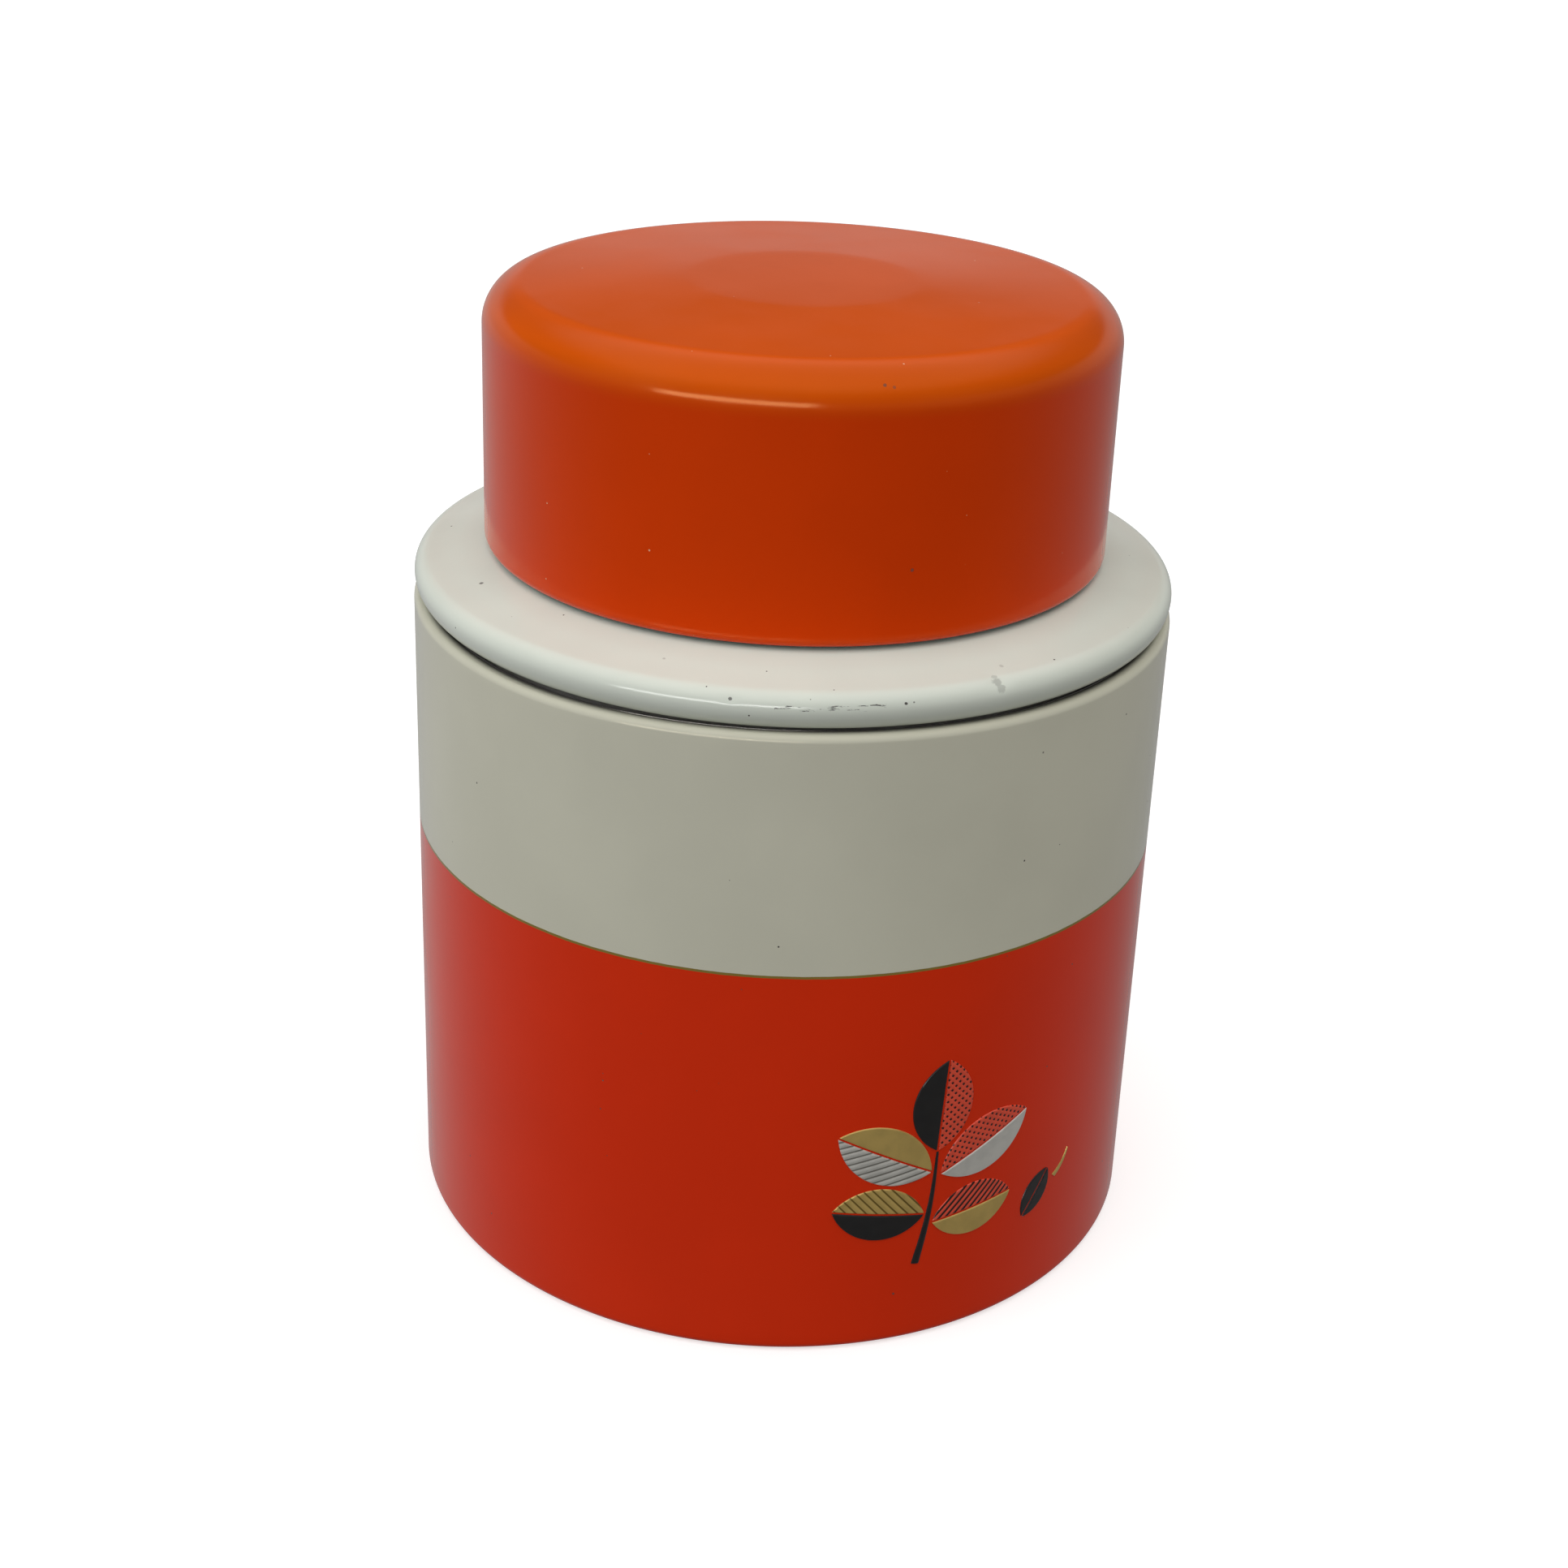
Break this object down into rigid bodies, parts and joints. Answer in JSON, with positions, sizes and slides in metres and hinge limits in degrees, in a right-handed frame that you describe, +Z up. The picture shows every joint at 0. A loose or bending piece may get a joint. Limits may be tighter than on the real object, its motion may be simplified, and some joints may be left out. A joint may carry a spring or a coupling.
{
  "type": "storage tin",
  "caption": "Round necked tinplate storage tin with a lift-off shoulder lid, a pressed inner lid with a knob and a deep slip cap.",
  "frame": {"origin": "middle of the bottom of the tin, on the plane that it stands on", "axes": "+Z up along the axis of the tin; -Y is the front, with the printed motif, and the side seam is at the back"},
  "size_m": [0.1, 0.1, 0.1278],
  "materials": {
    "printed_body": "satin lacquer over print, orange-red below and cream above a fine gold line",
    "cream_lacquer": "satin lacquer",
    "orange_lacquer": "satin lacquer",
    "bare_tinplate": "bright tinplate",
    "turned_aluminium": "turned",
    "liner_card": "matte"
  },
  "bodies": {
    "tin_body": {"body_shell": "printed_body", "base_disc": "bare_tinplate", "guide_ring": "bare_tinplate"},
    "shoulder_lid": {"shoulder_ring": "cream_lacquer", "plug_skirt": "bare_tinplate", "neck_collar": "bare_tinplate"},
    "press_lid": {"inner_lid": "bare_tinplate", "inner_lid_knob": "turned_aluminium", "knob_rivet": "bare_tinplate", "rivet_washer": "bare_tinplate"},
    "slip_cap": {"cap_shell": "orange_lacquer", "cap_liner": "liner_card"}
  },
  "joints": [
    {"name": "shoulder_lift", "type": "slide", "parent": "tin_body", "child": "shoulder_lid", "axis": [0, 0, 1], "range_m": [0, 0.045]},
    {"name": "inner_lid_lift", "type": "slide", "parent": "shoulder_lid", "child": "press_lid", "axis": [0, 0, 1], "range_m": [0, 0.045]},
    {"name": "cap_lift", "type": "slide", "parent": "press_lid", "child": "slip_cap", "axis": [0, 0, 1], "range_m": [0, 0.06]}
  ]
}
